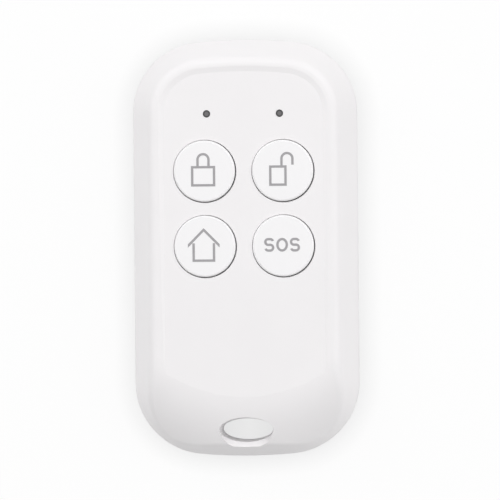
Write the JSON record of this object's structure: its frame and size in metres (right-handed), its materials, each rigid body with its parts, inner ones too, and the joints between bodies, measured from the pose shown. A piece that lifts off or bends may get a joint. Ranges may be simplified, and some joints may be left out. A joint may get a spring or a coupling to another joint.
{
  "type": "alarm key fob",
  "caption": "Flat white alarm remote with four round keys, two indicator windows, a sliding battery door and an oval keyring slot.",
  "frame": {"origin": "middle of the back face, on which the fob lies", "axes": "+X across to the right seen from the front, +Y to the indicator end, +Z out of the keys"},
  "size_m": [0.036, 0.0668, 0.0111],
  "materials": {
    "white_case": "satin moulded ABS",
    "white_button": "satin moulded ABS, a little smoother than the case",
    "grey_print": "matt pad-printed ink",
    "smoked_window": "smoked clear acrylic",
    "led_white": "moulded lamp body",
    "board_green": "green solder mask over glass fibre",
    "cell_steel": "nickel-plated steel",
    "cell_seal": "moulded nylon seal",
    "contact_metal": "nickel-plated spring bronze",
    "screw_steel": "zinc-plated steel",
    "chip_black": "moulded epoxy",
    "tinned_leads": "tinned copper",
    "resonator_metal": "gold-plated lid on ceramic",
    "resistor_black": "glazed ceramic",
    "capacitor_tan": "fired ceramic",
    "track_copper": "bare copper",
    "switch_plunger": "moulded nylon",
    "switch_black": "moulded nylon",
    "switch_steel": "pressed stainless steel"
  },
  "bodies": {
    "case": {"front_shell": "white_case", "rear_shell": "white_case", "case_screws": "screw_steel", "circuit_board": "board_green", "coin_cell_can": "cell_steel", "coin_cell_cap": "cell_steel", "coin_cell_seal": "cell_seal", "negative_contact": "contact_metal", "positive_contact": "contact_metal", "encoder_chip": "chip_black", "encoder_leads": "tinned_leads", "resonator": "resonator_metal", "radio_transistor": "chip_black", "antenna_track": "track_copper", "resistors": "resistor_black", "capacitors": "capacitor_tan", "left_light_pipe": "smoked_window", "left_led": "led_white", "right_light_pipe": "smoked_window", "right_led": "led_white", "arm_switch_base": "switch_black", "arm_switch_cover": "switch_steel", "arm_switch_terminals": "tinned_leads", "disarm_switch_base": "switch_black", "disarm_switch_cover": "switch_steel", "disarm_switch_terminals": "tinned_leads", "home_switch_base": "switch_black", "home_switch_cover": "switch_steel", "home_switch_terminals": "tinned_leads", "sos_switch_base": "switch_black", "sos_switch_cover": "switch_steel", "sos_switch_terminals": "tinned_leads"},
    "arm_key": {"arm_button": "white_button", "arm_legend": "grey_print", "arm_switch_plunger": "switch_plunger"},
    "disarm_key": {"disarm_button": "white_button", "disarm_legend": "grey_print", "disarm_switch_plunger": "switch_plunger"},
    "home_key": {"home_button": "white_button", "home_legend": "grey_print", "home_switch_plunger": "switch_plunger"},
    "sos_key": {"sos_button": "white_button", "sos_legend": "grey_print", "sos_switch_plunger": "switch_plunger"},
    "door": {"battery_door": "white_case"}
  },
  "joints": [
    {"name": "arm_press", "type": "slide", "parent": "case", "child": "arm_key", "axis": [0, 0, -1], "range_m": [0, 0.0003], "stiffness_N_per_m": 600},
    {"name": "disarm_press", "type": "slide", "parent": "case", "child": "disarm_key", "axis": [0, 0, -1], "range_m": [0, 0.0003], "stiffness_N_per_m": 600},
    {"name": "home_press", "type": "slide", "parent": "case", "child": "home_key", "axis": [0, 0, -1], "range_m": [0, 0.0003], "stiffness_N_per_m": 600},
    {"name": "sos_press", "type": "slide", "parent": "case", "child": "sos_key", "axis": [0, 0, -1], "range_m": [0, 0.0003], "stiffness_N_per_m": 600},
    {"name": "door_slide", "type": "slide", "parent": "case", "child": "door", "axis": [0, 1, 0], "range_m": [0, 0.03]}
  ]
}
